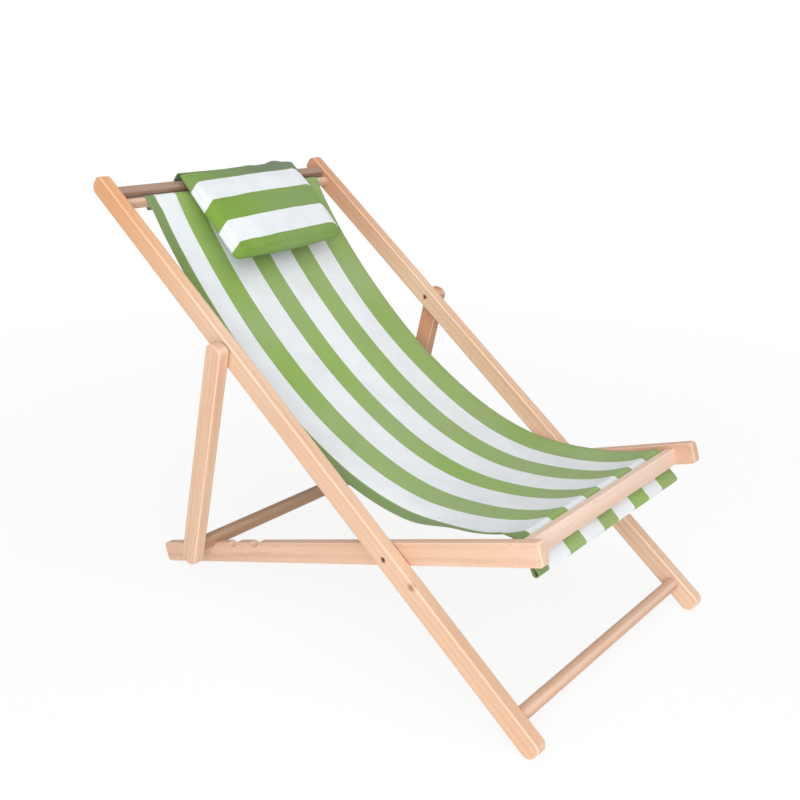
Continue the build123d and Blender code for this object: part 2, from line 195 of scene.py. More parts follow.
def axes(tree, vector):
    made = tree.nodes.new("ShaderNodeSeparateXYZ")
    feed(tree, made.inputs[0], vector)
    return made.outputs["X"], made.outputs["Y"], made.outputs["Z"]


def stripeRamp(tree, place, edges, span, firstTint, secondTint):
    # sharp bands of two colours that change at each edge
    made = tree.nodes.new("ShaderNodeValToRGB")
    made.color_ramp.interpolation = "CONSTANT"
    feed(tree, made.inputs["Fac"], place)
    elements = made.color_ramp.elements
    elements[0].position = 0.0
    elements[0].color = firstTint
    elements.remove(elements[1])
    for count, edge in enumerate(edges):
        element = elements.new(edge / span)
        element.color = secondTint if count % 2 == 0 else firstTint
    return made.outputs["Color"]


def raised(tree, height, depth, strength=1.0, under=None):
    made = tree.nodes.new("ShaderNodeBump")
    made.inputs["Strength"].default_value = strength
    made.inputs["Distance"].default_value = depth
    feed(tree, made.inputs["Height"], height)
    if under is not None:
        feed(tree, made.inputs["Normal"], under)
    return made.outputs["Normal"]


def waveScale(gap):
    # the wave texture's scale for bands this far apart
    return math.pi / 10 / gap


# wood

beech = {
    "pale": tint(226, 197, 173),
    "warm": tint(214, 177, 148),
    "honey": tint(222, 164, 114),
    "rose": tint(208, 150, 126),
    "amber": tint(188, 122, 76),
    "chalk": tint(232, 210, 198),
    "streak": tint(186, 138, 106),
    "highlightAndWear": tint(238, 212, 194),
    # paler tint of the rounded edges: painted highlight and rubbed wear
    "knot": tint(150, 94, 62),
    "roughness": 0.5,
    "specular": 0.35,
    "grainDepth": 0.0002,
    "ringGap": 0.0085,              # between growth rings
    "ringWander": 0.012,            # how far a ring strays from its circle
    "ringSharpness": 2.2,
    # how often each noise changes along, across and through the grain
    "drift": (1.4, 22, 22),
    "figure": (1.7, 30, 30),
    "fibre": (9, 420, 420),
    "fleck": (160, 900, 900),
    "board": (2.2, 9, 9),
    # how strongly each shows in the colour
    "ringShow": 0.34,
    "fibreShow": 0.26,
    "fleckShow": 0.3,
    "highlightAndWearShow": 0.5,
    "knotShow": 0.8,
    "knotSize": (0.002, 0.009),     # its dark middle and its rim
    "castLeft": 0.15,               # of a fading cast, at the foot
    # where in the log a piece is cut, and the step from one piece to the next
    "cut": Vector((0, 0.021, -0.034)),
    "cutStep": Vector((0.37, 0.011, -0.007)),
}


def toned(key, tone):
    return tuple(part * tone for part in beech[key][:3]) + (1.0,)


def grainNoise(tree, grain, kind, detail, rough=0.5):
    return speckle(tree, mapped(tree, grain, stretch=beech[kind]), 1.0, detail, rough)


def growthRings(tree, grain):
    wander = tree.nodes.new("ShaderNodeVectorMath")
    wander.operation = "MULTIPLY_ADD"
    feed(tree, wander.inputs[0], grainNoise(tree, grain, "drift", 3.0))
    wander.inputs[1].default_value = (0, beech["ringWander"], beech["ringWander"])
    feed(tree, wander.inputs[2], grain)
    rings = tree.nodes.new("ShaderNodeTexWave")
    rings.wave_type = "RINGS"
    rings.rings_direction = "X"
    feed(tree, rings.inputs["Vector"], wander.outputs[0])
    rings.inputs["Scale"].default_value = waveScale(beech["ringGap"])
    rings.inputs["Distortion"].default_value = 1.2
    rings.inputs["Detail"].default_value = 2.0
    sharp = calc(tree, "POWER", rings.outputs["Fac"], beech["ringSharpness"])
    figure = spread(tree, grainNoise(tree, grain, "figure", 2.0), 0.38, 0.66, 0.1, 1.0)
    return calc(tree, "MULTIPLY", sharp, figure)


def knotEye(tree, spot, turn, knotAt):
    away = tree.nodes.new("ShaderNodeVectorMath")
    away.operation = "DISTANCE"
    feed(tree, away.inputs[0], mapped(tree, spot, turn=turn))
    away.inputs[1].default_value = Euler(turn).to_matrix() @ knotAt
    return spread(tree, away.outputs["Value"], *beech["knotSize"], beech["knotShow"], 0.0)


def edgeHighlightAndWear(tree, turn, fibre):
    # rounded edges face none of the piece's own directions; they are painted paler, partly a painted
    # highlight where the arrises catch the light and partly rubbed wear broken up along the fibre
    normal = tree.nodes.new("ShaderNodeTexCoord").outputs["Normal"]
    facing = axes(tree, mapped(tree, normal, turn=turn))
    along, across, through = [calc(tree, "ABSOLUTE", part) for part in facing]
    flat = calc(tree, "MAXIMUM", calc(tree, "MAXIMUM", across, through), along)
    rounded = spread(tree, flat, 0.97, 0.8, 0.0, beech["highlightAndWearShow"])
    return calc(tree, "MULTIPLY", rounded, spread(tree, fibre, 0.3, 0.6))


def beechFinish(name, turn, seed, tone, cast, share, fades=None, knotAt=None):
    # the grain runs along the turned X
    material, tree, shader = startMaterial(name)
    spot = objectSpot(tree)
    if fades:
        along = axes(tree, mapped(tree, spot, turn=turn))[0]
        share = spread(tree, along, *fades, beech["castLeft"] * share, share)
    grain = mapped(tree, spot, beech["cut"] + beech["cutStep"] * seed, turn)
    rings = growthRings(tree, grain)
    fibre = grainNoise(tree, grain, "fibre", 3.0, 0.65)
    fleck = spread(tree, grainNoise(tree, grain, "fleck", 1.0), 0.66, 0.74)
    board = spread(tree, grainNoise(tree, grain, "board", 2.0), 0.32, 0.7)
    streak, knot = toned("streak", tone), toned("knot", tone)
    colour = blendTint(tree, board, toned("pale", tone), toned("warm", tone))
    colour = blendTint(tree, share, colour, toned(cast, tone))
    colour = blendTint(tree, calc(tree, "MULTIPLY", rings, beech["ringShow"]), colour, streak)
    colour = blendTint(tree, spread(tree, fibre, 0.42, 0.8, 0.0, beech["fibreShow"]), colour, streak)
    colour = blendTint(tree, calc(tree, "MULTIPLY", fleck, beech["fleckShow"]), colour, knot)
    if knotAt:
        colour = blendTint(tree, knotEye(tree, spot, turn, knotAt), colour, knot)
    # rounded edges painted paler: painted highlight mixed with rubbed wear
    colour = blendTint(tree, edgeHighlightAndWear(tree, turn, fibre), colour, toned("highlightAndWear", tone))
    dull = spread(tree, fibre, 0.2, 0.8, beech["roughness"] - 0.06, beech["roughness"] + 0.1)
    feed(tree, shader.inputs["Base Color"], colour)
    feed(tree, shader.inputs["Roughness"], dull)
    feed(tree, shader.inputs["Normal"], raised(tree, fibre, beech["grainDepth"], 0.5))
    shader.inputs["Specular IOR Level"].default_value = beech["specular"]
    return material


def dress(name, material):
    piece = nodes[name]
    piece.data.materials.clear()
    piece.data.materials.append(material)


# grain turn, number of the cut, how light the piece is, its cast and the cast's share
alongBackRail = (0, -lean["back"], 0)
alongSeatRail = (0, lean["seat"], 0)
alongPropLeg = (0, lean["prop"], 0)
acrossChair = (0, 0, -math.pi / 2)
woodPieces = {
    "back_rail_right": (alongBackRail, 1, 0.98, "honey", 0.95),
    "back_rail_left": (alongBackRail, 2, 1.05, "amber", 0.7),
    "seat_rail_right": (alongSeatRail, 3, 1.0, "rose", 0.15),
    "seat_rail_left": (alongSeatRail, 4, 0.95, "rose", 0.4),
    "prop_leg_right": (alongPropLeg, 5, 0.98, "honey", 0.2),
    "prop_leg_left": (alongPropLeg, 6, 0.95, "amber", 0.7),
    "head_rail": (acrossChair, 7, 0.48, "rose", 0.5),
    "front_rail": (acrossChair, 8, 1.02, "chalk", 0.6),
    "head_dowel": (acrossChair, 9, 0.85, "rose", 0.2),
    "front_dowel": (acrossChair, 10, 0.9, "rose", 0.2),
    "prop_dowel": (acrossChair, 11, 0.7, "amber", 0.4),
    "foot_rung": (acrossChair, 12, 1.0, "rose", 0.3),
    "head_hem_stick": (acrossChair, 13, 0.9, "honey", 0.0),
    "front_hem_stick": (acrossChair, 14, 0.9, "honey", 0.0),
}
footToHead = (-0.42, -0.72)         # along the turned back rails, where their cast grows
nearKnot = onBack(-0.058, 0.012, -0.2665)
for name, (turn, seed, tone, cast, share) in woodPieces.items():
    fades = footToHead if turn is alongBackRail else None
    knotAt = nearKnot if name == "back_rail_right" else None
    dress(name, beechFinish("beech_" + name, turn, seed, tone, cast, share, fades, knotAt))
print("wood dressed:", len(woodPieces), "pieces")


# fasteners

metal = {
    "brush": (1200, 90, 1200),      # fine lines along the bolts
    "brushDepth": 0.00005,
    "tarnish": 260.0,               # how often the colour dulls
}


def metalFinish(name, colour, dark, roughness):
    material, tree, shader = startMaterial(name)
    spot = objectSpot(tree)
    brushed = speckle(tree, mapped(tree, spot, stretch=metal["brush"]), 1.0, 2.0)
    tarnish = spread(tree, speckle(tree, spot, metal["tarnish"], 4.0, 0.6), 0.45, 0.75)
    dull = spread(tree, brushed, 0.2, 0.8, roughness - 0.08, roughness + 0.12)
    feed(tree, shader.inputs["Base Color"], blendTint(tree, tarnish, colour, dark))
    feed(tree, shader.inputs["Roughness"], dull)
    feed(tree, shader.inputs["Normal"], raised(tree, brushed, metal["brushDepth"], 0.4))
    shader.inputs["Metallic"].default_value = 1.0
    return material


steel = metalFinish("darkSteel", tint(166, 138, 114), tint(120, 94, 74), 0.42)
brass = metalFinish("brassInsert", tint(196, 160, 92), tint(140, 104, 54), 0.38)
metalPieces = {
    "main_pivot_bolts": steel,
    "main_pivot_nuts": steel,
    "main_pivot_washers": steel,
    "prop_pivot_bolts": steel,
    "prop_pivot_washers": steel,
    "prop_pivot_inserts": brass,
}
for name, material in metalPieces.items():
    dress(name, material)
print("fasteners dressed:", len(metalPieces), "pieces")


# canvas

canvas = {
    "green": tint(148, 175, 103),
    "pillowGreen": tint(127, 158, 80),
    # grey-green painted shade, on the strap and on the pillow's crest toward the far side
    "shadedStrapGreen": tint(112, 130, 98),
    # darker green for the stitching thread, and painted shade on the sling's near hem strip
    "stitchAndShadedHemGreen": tint(124, 148, 94),
    "white": tint(232, 236, 240),
    "shadow": tint(96, 104, 92),
    "thickness": 0.0012,
    "thread": 0.0011,               # between neighbouring threads
    "threadDepth": 0.0003,
    "stitch": 0.0034,               # from one stitch to the next
    "stitchShare": 0.72,            # of that, what the stitch takes
    "stitchWidth": 0.0009,
    "stitchDepth": 0.0005,
    "stitchShow": 0.45,
    "clouds": 14.0,                 # how often the colour clouds over
    "cloudShow": 0.10,
    "slub": (24, 900),              # how often a thread thickens along and across itself
    "slubDepth": 0.0004,
    "slubShow": 0.09,
    "fading": 5.0,                  # how often the sun has faded it
    "fadeRange": (0.88, 1.12),      # of the colour's strength
    "roughness": (0.78, 0.92),
    "sheen": 0.12,
    "sheenRoughness": 0.5,
    "specular": 0.2,
}


def stitching(tree, flat, seams):
    # dashes of thread; a seam is the direction it crosses and its place there
    ways = axes(tree, flat)
    shown = 0.0
    for crossed, place in seams:
        away = calc(tree, "ABSOLUTE", calc(tree, "SUBTRACT", ways[crossed], place))
        line = calc(tree, "LESS_THAN", away, canvas["stitchWidth"] / 2)
        beat = calc(tree, "FRACT", calc(tree, "DIVIDE", ways[1 - crossed], canvas["stitch"]))
        dash = calc(tree, "MULTIPLY", line, calc(tree, "LESS_THAN", beat, canvas["stitchShare"]))
        shown = calc(tree, "MAXIMUM", shown, dash)
    return shown


def slubs(tree, flat):
    # thick places in the threads of both directions
    along, across = canvas["slub"]
    ways = ((across, along, across), (along, across, across))
    noises = [speckle(tree, mapped(tree, flat, stretch=way), 1.0) for way in ways]
    return calc(tree, "ADD", *[calc(tree, "MULTIPLY", part, 0.5) for part in noises])


def weave(tree, flat):
    rows = []
    for direction in ("X", "Y"):
        made = tree.nodes.new("ShaderNodeTexWave")
        made.bands_direction = direction
        feed(tree, made.inputs["Vector"], flat)
        made.inputs["Scale"].default_value = waveScale(canvas["thread"])
        rows.append(made.outputs["Fac"])
    return calc(tree, "MULTIPLY", *rows)


def canvasFinish(name, striped, acrossCloth, seams):
    # striped gives the colour, acrossCloth the flat cloth's two directions in metres
    material, tree, shader = startMaterial(name)
    flat = acrossCloth(tree)
    thread = stitching(tree, flat, seams)
    slub = slubs(tree, flat)
    sewnShare = calc(tree, "MULTIPLY", thread, canvas["stitchShow"])
    colour = blendTint(tree, sewnShare, striped(tree), canvas["stitchAndShadedHemGreen"])
    cloud = speckle(tree, objectSpot(tree), canvas["clouds"], 3.0, 0.6)
    cloudDim = spread(tree, cloud, 0.3, 0.7, 0.0, canvas["cloudShow"])
    slubDim = spread(tree, slub, 0.35, 0.65, 0.0, canvas["slubShow"])
    colour = blendTint(tree, calc(tree, "ADD", cloudDim, slubDim), colour, canvas["shadow"], "MULTIPLY")
    sun = speckle(tree, objectSpot(tree), canvas["fading"])
    faded = tree.nodes.new("ShaderNodeHueSaturation")
    feed(tree, faded.inputs["Saturation"], spread(tree, sun, 0.35, 0.65, *canvas["fadeRange"]))
    feed(tree, faded.inputs["Color"], colour)
    feed(tree, shader.inputs["Base Color"], faded.outputs["Color"])
    woven = raised(tree, weave(tree, flat), canvas["threadDepth"], 0.5)
    sewn = raised(tree, thread, canvas["stitchDepth"], 0.8, woven)
    feed(tree, shader.inputs["Normal"], raised(tree, slub, canvas["slubDepth"], 0.4, sewn))
    feed(tree, shader.inputs["Roughness"], spread(tree, slub, 0.3, 0.7, *canvas["roughness"]))
    shader.inputs["Sheen Weight"].default_value = canvas["sheen"]
    shader.inputs["Sheen Roughness"].default_value = canvas["sheenRoughness"]
    shader.inputs["Specular IOR Level"].default_value = canvas["specular"]
    return material


def runLengths(points):
    lengths = [0.0]
    for before, after in zip(points, points[1:]):
        lengths.append(lengths[-1] + (after - before).length)
    return lengths


def startCloth(name, columns, rows):
    dropSelection()
    bpy.ops.mesh.primitive_grid_add(x_subdivisions=columns, y_subdivisions=rows, size=1, calc_uvs=True)
    piece = bpy.context.object
    piece.name = name
    return piece


def finishCloth(piece, places):
    # places holds each vertex's spot on the flat cloth, in metres
    layer = piece.data.uv_layers.active.data
    for loop in piece.data.loops:
        layer[loop.index].uv = places[loop.vertex_index]
    solid = piece.modifiers.new("thickness", "SOLIDIFY")
    solid.thickness = canvas["thickness"]
    solid.offset = 0.0
    applyAll(piece)
    bpy.ops.object.shade_smooth()


def clothFlat(tree):
    return tree.nodes.new("ShaderNodeUVMap").outputs["UV"]


# sling

sling = {
    "width": 0.413,
    "nearEdge": -0.198,
    "columns": 96,
    # from the near edge, in metres: green first
    "edges": [0.0179, 0.0587, 0.1033, 0.1570, 0.2012, 0.2546, 0.3017, 0.3528],
    "edgeWobble": 0.0012,
    "hem": 0.018,
    # course from the head dowel over the lowest point to the front dowel
    "hold": 0.0003,                 # between the cloth and the rods it goes round
    "leave": math.radians(30),      # between the back rail and the cloth that leaves the head dowel
    "headPull": 0.0735,
    "low": Vector((0.003, 0, 0.2515)),      # ahead of the main hinge, and above the floor
    "lowPullBack": 0.290,
    "lowPullSeat": 0.065,
    "frontPull": 0.058,
    "frontLeave": math.radians(10), # how far the cloth goes round the rear of the front dowel
    "pinch": 0.021,                 # from a hem stick up to the seam of its pocket
    "seamGap": 0.0014,
    # drawn sideways, by shares of the width, and of the length toward the front
    "frontShare": (0.72, 0.88),
    "nearFlare": -0.012,            # at the front the near edge lies further out
    "nearReach": 0.12,
    "frontDrift": 0.012,            # and the stripes drift to the far side
    "farFlare": 0.005,
    "farReach": 0.75,
    "headFlare": -0.006,            # the near edge spreads a little at the head dowel
    "headSpan": (0.060, 0.070, 0.085, 0.115),
    "headTuck": 0.018,              # and its pocket is tucked in behind it
    "pocketSpan": (0.050, 0.062),
    "headReach": 0.2,
    # side edges off the even cloth, by the distance ahead of the main hinge
    "nearDroop": 0.006,             # the near hem hangs down behind the lowest point
    "droopSpan": (-0.35, -0.12, -0.03, 0.08),
    "hemTurn": math.radians(30),    # and turns up toward the front
    "turnSpan": (-0.01, 0.09, 0.165, 0.187),
    "farRise": 0.003,               # the far edge stands up a little there
    "riseSpan": (-0.05, 0.08, 0.13, 0.19),
    "edgeReach": 0.040,
    "ripple": 0.0016,
    "rippleFromHead": (0.10, 0.30),
    "rippleFromFront": (0.10, 0.20),
    # where it bends from the back frame to the seat frame, ahead of the main hinge
    "bendFrom": -0.09,
    "bendTo": 0.11,
}


def arcPoints(centre, radius, startTurn, endTurn, count):
    steps = [startTurn + (endTurn - startTurn) * step / count for step in range(count + 1)]
    return [centre + Vector((math.cos(turn), 0, math.sin(turn))) * radius for turn in steps]


def sideTurn(vector):
    return math.atan2(vector.z, vector.x)


def pocketPoints(stick, top, seamSide):
    # one loop of cloth round a hem stick, from its seam back to the pinch
    radius = rodRadius(stick) + sling["hold"] + canvas["thickness"] / 2
    centre = middleOf(stick)
    centre.y = 0
    toPinch = (top - centre).normalized()
    pinch = centre + toPinch * sling["pinch"]
    half = math.acos(radius / sling["pinch"])
    facing = sideTurn(toPinch)
    seam = pinch + Vector((toPinch.z, 0, -toPinch.x)) * sling["seamGap"] * seamSide
    loop = arcPoints(centre, radius, facing - seamSide * half, facing - seamSide * (2 * math.pi - half), 22)
    legs = [seam.lerp(loop[0], step / 6) for step in range(6)]
    return legs + loop + [loop[-1].lerp(pinch, step / 6) for step in range(1, 7)]


def slingPath():
    head, front = middleOf("head_dowel"), middleOf("front_dowel")
    head.y = front.y = 0
    wrap = rodRadius("head_dowel") + sling["hold"] + canvas["thickness"] / 2
    low = sling["low"] + Vector((hinges["fold"].x, 0, 0))
    down = -(backUp * math.cos(sling["leave"]) + backOut * math.sin(sling["leave"]))
    leaveOut = backOut * math.cos(sling["leave"]) - backUp * math.sin(sling["leave"])
    rear = head + Vector((-wrap, 0, 0))
    path = pocketPoints("head_hem_stick", rear, -1)
    path += [path[-1].lerp(rear, step / 5) for step in range(1, 5)]
    over = arcPoints(head, wrap, math.pi, sideTurn(leaveOut), 16)
    path += over
    path += interpolate_bezier(over[-1], over[-1] + down * sling["headPull"],
                               low - Vector((sling["lowPullBack"], 0, 0)), low, 120)[1:]
    turned = Matrix.Rotation(-sling["frontLeave"], 3, "Y")
    crest = front + turned @ seatUp * wrap
    path += interpolate_bezier(low, low + Vector((sling["lowPullSeat"], 0, 0)),
                               crest - turned @ seatAhead * sling["frontPull"], crest, 50)[1:]
    path += arcPoints(front, wrap, sideTurn(turned @ seatUp), sideTurn(seatAhead), 14)[1:]
    tail = pocketPoints("front_hem_stick", path[-1], -1)
    tail.reverse()
    path += [path[-1].lerp(tail[0], step / 6) for step in range(1, 6)]
    return path + tail


def sidewaysShift(length, total, share):
    toFront = smoothStep(*sling["frontShare"], length / total)
    fromNear = smoothStep(0.0, sling["nearReach"], share)
    drift = sling["nearFlare"] + (sling["frontDrift"] - sling["nearFlare"]) * fromNear
    drift += (sling["farFlare"] - sling["frontDrift"]) * smoothStep(sling["farReach"], 1.0, share)
    flare = sling["headFlare"] * plateau(sling["headSpan"], length)
    tuck = sling["headTuck"] * (1 - smoothStep(*sling["pocketSpan"], length))
    return toFront * drift + (flare + tuck) * smoothStep(sling["headReach"], 0.0, share)


def edgeRise(x, fromNear):
    # how far the side edges stand off the even cloth, at a place along the chair
    fromFar = sling["width"] - fromNear
    ahead = x - hinges["fold"].x
    turn = sling["hemTurn"] * plateau(sling["turnSpan"], ahead)
    nearFall = sling["nearDroop"] * plateau(sling["droopSpan"], ahead)
    farLift = sling["farRise"] * plateau(sling["riseSpan"], ahead)
    rise = max(sling["hem"] - fromNear, 0.0) * math.tan(turn)
    rise -= nearFall * smoothStep(sling["edgeReach"], 0.0, fromNear)
    return rise + farLift * smoothStep(sling["edgeReach"], 0.0, fromFar)


def slingSheet():
    path = slingPath()
    lengths = runLengths(path)
    total = lengths[-1]
    last = len(path) - 1
    piece = startCloth("sling", sling["columns"], last)
    places = {}
    for vertex in piece.data.vertices:
        row = round((vertex.co.y + 0.5) * last)
        share = vertex.co.x + 0.5
        length = lengths[row]
        ahead = path[min(row + 1, last)] - path[max(row - 1, 0)]
        out = Vector((-ahead.z, 0, ahead.x)).normalized()
        spot = path[row].copy()
        spot.y = sling["nearEdge"] + sling["width"] * share + sidewaysShift(length, total, share)
        free = smoothStep(*sling["rippleFromHead"], length)
        free *= smoothStep(*sling["rippleFromFront"], total - length)
        ripple = sling["ripple"] * noise.noise(Vector((spot.y * 9, length * 5, 3.1)))
        vertex.co = spot + out * (free * ripple + edgeRise(spot.x, share * sling["width"]))
        places[vertex.index] = (share * sling["width"], length)
    finishCloth(piece, places)
    pocketRows = len(pocketPoints("head_hem_stick", path[0], 1))
    seams = [(0, sling["hem"] / 2), (0, sling["width"] - sling["hem"] / 2),
             (1, lengths[pocketRows] + 0.001), (1, lengths[-pocketRows] - 0.001)]
    return piece, total, seams


def slingStripes(tree):
    flat = clothFlat(tree)
    across = axes(tree, flat)[0]
    drift = speckle(tree, mapped(tree, flat, stretch=(20, 6, 1)), 1.0)
    wobble = spread(tree, drift, 0, 1, -sling["edgeWobble"], sling["edgeWobble"])
    place = calc(tree, "DIVIDE", calc(tree, "ADD", across, wobble), sling["width"])
    stripes = stripeRamp(tree, place, sling["edges"], sling["width"], canvas["green"], canvas["white"])
    # the near hem strip is painted in the darker green: painted shade of an edge curling away from the light
    return blendTint(tree, calc(tree, "LESS_THAN", across, sling["hem"]), stripes, canvas["stitchAndShadedHemGreen"])


slingPiece, slingLength, slingSeams = slingSheet()
slingPiece.data.materials.append(canvasFinish("slingCanvas", slingStripes, clothFlat, slingSeams))
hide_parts("sling_back", "sling_seat")
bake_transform(slingPiece)
print("sling made, cloth length", round(slingLength, 3))


# pillow

pillowCloth = {
    # the stuffing swells the cloth
    "voxel": 0.0048,
    "shrink": 0.0012,
    "frames": 20,
    "quality": 5,
    "pressure": 4.0,
    "mass": 0.25,
    "tension": 12,
    "shear": 4,
    "bending": 0.3,
    "frontCap": 0.0045,
    "backCap": 0.0010,
    "capFades": (0.775, 0.735),     # up the back, so that the top stays clear of the head rail
    # how it hangs
    "middle": 0.019,                # a little to the far side
    "skew": 0.042,                  # and a little higher there
    "skewLost": 0.6,                # of that, near the top
    "skewFades": (0.70, 0.775),
    "crease": 0.0010,
    "crestSpan": (0.765, 0.785),
    "crestMost": 0.003,
    # the ridge over the head rail: places across the chair and how high it stands there
    "ridge": [(-0.123, 0.000), (-0.026, -0.003), (0.047, 0.003), (0.069, 0.000), (0.092, 0.002),
              (0.131, 0.011), (0.152, 0.001)],
    # stripes along the back from the main hinge, in metres: green at the foot first
    "edges": [0.6165, 0.6615, 0.710, 0.757],
    "edgeWobble": 0.0015,
    "from": 0.55,
    "to": 0.80,
    "crestShadeBlend": 0.004,
    "endSpan": (0.120, 0.144),      # from the middle, where the stripes bend down on the ends
    "endDrop": 0.014,
    "seamOut": 0.136,
}


def ridgeRise(across):
    points = pillowCloth["ridge"]
    for (before, low), (after, high) in zip(points, points[1:]):
        if across < after:
            return low + (high - low) * smoothStep(before, after, across)
    return points[-1][1]


def swell(piece):
    start = [(vertex.co.copy(), vertex.normal.copy()) for vertex in piece.data.vertices]
    cloth = piece.modifiers.new("swelling", "CLOTH").settings
    cloth.quality = pillowCloth["quality"]
    cloth.mass = pillowCloth["mass"]
    cloth.tension_stiffness = pillowCloth["tension"]
    cloth.compression_stiffness = pillowCloth["tension"]
    cloth.shear_stiffness = pillowCloth["shear"]
    cloth.bending_stiffness = pillowCloth["bending"]
    cloth.use_pressure = True
    cloth.uniform_pressure_force = pillowCloth["pressure"]
    cloth.effector_weights.gravity = 0
    for step in range(1, pillowCloth["frames"] + 1):
        bpy.context.scene.frame_set(step)
    applyAll(piece)
    bpy.context.scene.frame_set(1)
    for vertex, (before, out) in zip(piece.data.vertices, start):
        facing = smoothStep(-0.35, 0.5, out.dot(backOut))
        facing *= smoothStep(*pillowCloth["capFades"], upTheBack(before))
        cap = pillowCloth["backCap"] + (pillowCloth["frontCap"] - pillowCloth["backCap"]) * facing
        moved = (vertex.co - before).dot(out)
        vertex.co = before + out * min(max(moved, 0.0), cap)


def hangAskew(piece):
    # slant, the crest's rise and small creases
    for vertex in piece.data.vertices:
        spot = vertex.co.copy()
        up = upTheBack(spot)
        skew = pillowCloth["skew"] * (1 - pillowCloth["skewLost"] * smoothStep(*pillowCloth["skewFades"], up))
        crest = min(max(ridgeRise(spot.y), 0.0), pillowCloth["crestMost"])
        rise = (spot.y - pillowCloth["middle"]) * skew
        rise += smoothStep(*pillowCloth["crestSpan"], up) * crest
        fold = noise.noise(Vector((spot.y * 16, spot.dot(backUp) * 34, 7.7)))
        vertex.co = spot + vertex.normal * fold * pillowCloth["crease"] + backUp * rise


def pillowPad():
    pickOnly(nodes["pillow"])
    bpy.ops.object.duplicate()
    piece = bpy.context.object
    piece.parent = None
    piece.name = "pillowPad"
    for key in list(piece.keys()):
        del piece[key]
    piece.data.materials.clear()
    bpy.ops.object.mode_set(mode="EDIT")
    bpy.ops.mesh.select_all(action="SELECT")
    bpy.ops.mesh.remove_doubles(threshold=0.00005)
    bpy.ops.mesh.normals_make_consistent(inside=False)
    bpy.ops.transform.shrink_fatten(value=-pillowCloth["shrink"])
    bpy.ops.object.mode_set(mode="OBJECT")
    remesh = piece.modifiers.new("evenMesh", "REMESH")
    remesh.mode = "VOXEL"
    remesh.voxel_size = pillowCloth["voxel"]
    applyAll(piece)
    swell(piece)
    finer = piece.modifiers.new("finer", "SUBSURF")
    finer.levels = finer.render_levels = 1
    applyAll(piece)
    hangAskew(piece)
    bpy.ops.object.shade_smooth()
    return piece


def alongBack(tree):
    # up the back, across the chair and out of the back
    spot = mapped(tree, objectSpot(tree), place=tuple(-hinges["fold"]))
    x, y, z = axes(tree, mapped(tree, spot, turn=alongBackRail))
    return calc(tree, "MULTIPLY", x, -1.0), y, z


def pillowStripes(tree):
    up, across, out = alongBack(tree)
    across = calc(tree, "SUBTRACT", across, pillowCloth["middle"])
    away = calc(tree, "ABSOLUTE", across)
    onEnd = spread(tree, away, *pillowCloth["endSpan"], 0.0, pillowCloth["endDrop"])
    up = calc(tree, "SUBTRACT", up, calc(tree, "MULTIPLY", across, pillowCloth["skew"]))
    drift = speckle(tree, objectSpot(tree), 30.0)
    wobble = spread(tree, drift, 0, 1, -pillowCloth["edgeWobble"], pillowCloth["edgeWobble"])
    place = calc(tree, "ADD", calc(tree, "ADD", up, onEnd), wobble)
    low, high = pillowCloth["from"], pillowCloth["to"]
    edges = [edge - low for edge in pillowCloth["edges"]]
    share = spread(tree, place, low, high)
    stripes = stripeRamp(tree, share, edges, high - low, canvas["pillowGreen"], canvas["white"])
    # the crest above the top stripe is painted in shaded grey-green, more so toward the far side: painted
    # shade
    top = pillowCloth["edges"][-1]
    crest = spread(tree, place, top, top + pillowCloth["crestShadeBlend"])
    shadeToFar = spread(tree, across, -0.10, 0.04, 0.15, 1.0)
    return blendTint(tree, calc(tree, "MULTIPLY", crest, shadeToFar), stripes, canvas["shadedStrapGreen"])


def pillowFlat(tree):
    up, across, out = alongBack(tree)
    joined = tree.nodes.new("ShaderNodeCombineXYZ")
    feed(tree, joined.inputs[0], across)
    feed(tree, joined.inputs[1], calc(tree, "SUBTRACT", up, out))
    return joined.outputs[0]


pad = pillowPad()
pillowSeams = [(0, pillowCloth["middle"] + side * pillowCloth["seamOut"]) for side in (-1, 1)]
pad.data.materials.append(canvasFinish("pillowCanvas", pillowStripes, pillowFlat, pillowSeams))
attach(pad, "pillow")
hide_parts("pillow")
print("pillow made")


# strap over the head rail

strap = {
    "near": -0.118,
    "far": 0.160,
    "hem": 0.007,
    "columns": 90,
    "overRows": 24,                 # from the pillow to the rear of the head rail
    "dropRows": 16,                 # and down behind it
    # places along and out of the back
    "start": (0.7865, 0.0265),      # where it leaves the pillow
    "crown": 0.7990,
    "crownPull": 0.003,
    "rear": (0.7850, -0.0175),
    "drop": 0.042,                  # length of the free end
    "sway": 0.004,                  # and how far it sways
    "swayPace": 48,
    "swayStart": 1.0,
    # the strap's start and crown are painted in shaded grey-green, which fades into the pillow's green along
    # the cloth: painted shade
    "greenFrom": (0.015, 0.045),    # along the cloth, from the crown's green to the pillow's
}


def strapLine():
    begin, rear = Vector(strap["start"]), Vector(strap["rear"])
    tail = rear + Vector((-math.sin(lean["back"]), -math.cos(lean["back"]))) * strap["drop"]
    beginPull = Vector((strap["crown"], begin.y - strap["crownPull"], 0))
    rearPull = Vector((strap["crown"], rear.y + strap["crownPull"], 0))
    curve = interpolate_bezier(begin.to_3d(), beginPull, rearPull, rear.to_3d(), strap["overRows"] + 1)
    over = [Vector(point[:2]) for point in curve]
    drops = strap["dropRows"]
    return over + [rear.lerp(tail, (step + 1) / drops) for step in range(drops)]


